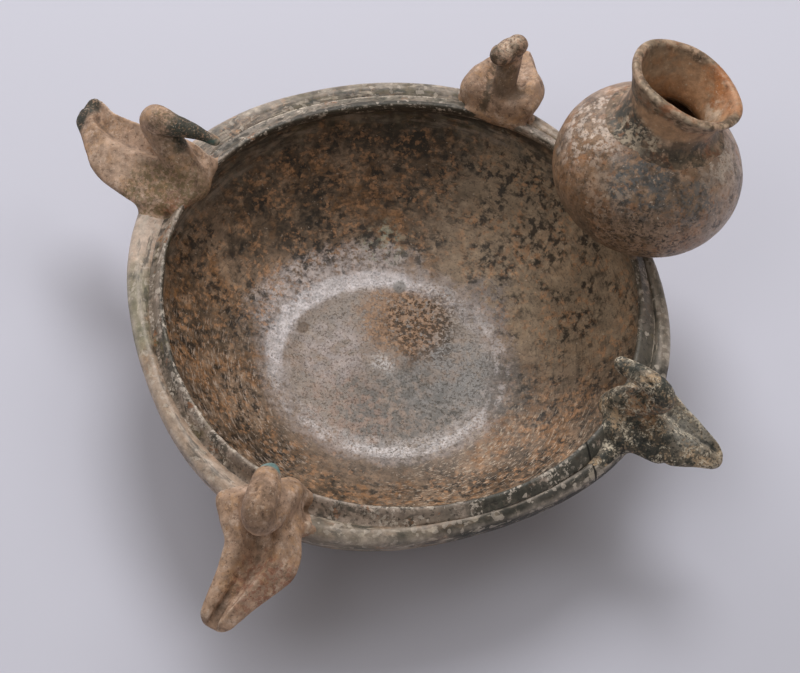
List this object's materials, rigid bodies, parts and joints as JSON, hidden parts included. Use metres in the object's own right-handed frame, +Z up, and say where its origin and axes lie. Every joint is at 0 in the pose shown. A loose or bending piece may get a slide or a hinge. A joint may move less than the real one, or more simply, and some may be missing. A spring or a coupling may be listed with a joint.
{
  "type": "ritual bowl",
  "caption": "Handmade deep clay bowl whose upright lip carries bird figures that lean over to drink and a small round jug.",
  "frame": {"origin": "middle of the flattened base, on the surface that the bowl stands on", "axes": "+Z up; +X is the right hand side and +Y the far side of someone who stands at the bowl and looks into it as in the picture, so the jug stands at +X +Y"},
  "size_m": [0.3426, 0.3479, 0.1916],
  "materials": {
    "bowl_clay": "burnished, unglazed, mottled brown and grey",
    "collar_clay": "burnished, unglazed, worn cream edge",
    "bird_clay": "matte, unglazed, pinkish tan",
    "dark_bird_clay": "matte, unglazed, dark and flaking",
    "jug_clay": "dull burnish, unglazed, mottled tan and slate",
    "luting_clay": "matte, unglazed"
  },
  "bodies": {
    "root": {"bowl_body": "bowl_clay", "rim_collar": "collar_clay", "jug_body": "jug_clay", "jug_neck": "jug_clay", "jug_luting": "luting_clay", "bird_nw_body": "bird_clay", "bird_nw_neck": "bird_clay", "bird_nw_luting": "luting_clay", "bird_n_body": "bird_clay", "bird_n_neck": "bird_clay", "bird_n_luting": "luting_clay", "bird_sw_body": "bird_clay", "bird_sw_neck": "bird_clay", "bird_sw_luting": "luting_clay", "bird_se_body": "dark_bird_clay", "bird_se_neck": "dark_bird_clay", "bird_se_luting": "luting_clay"}
  },
  "joints": []
}
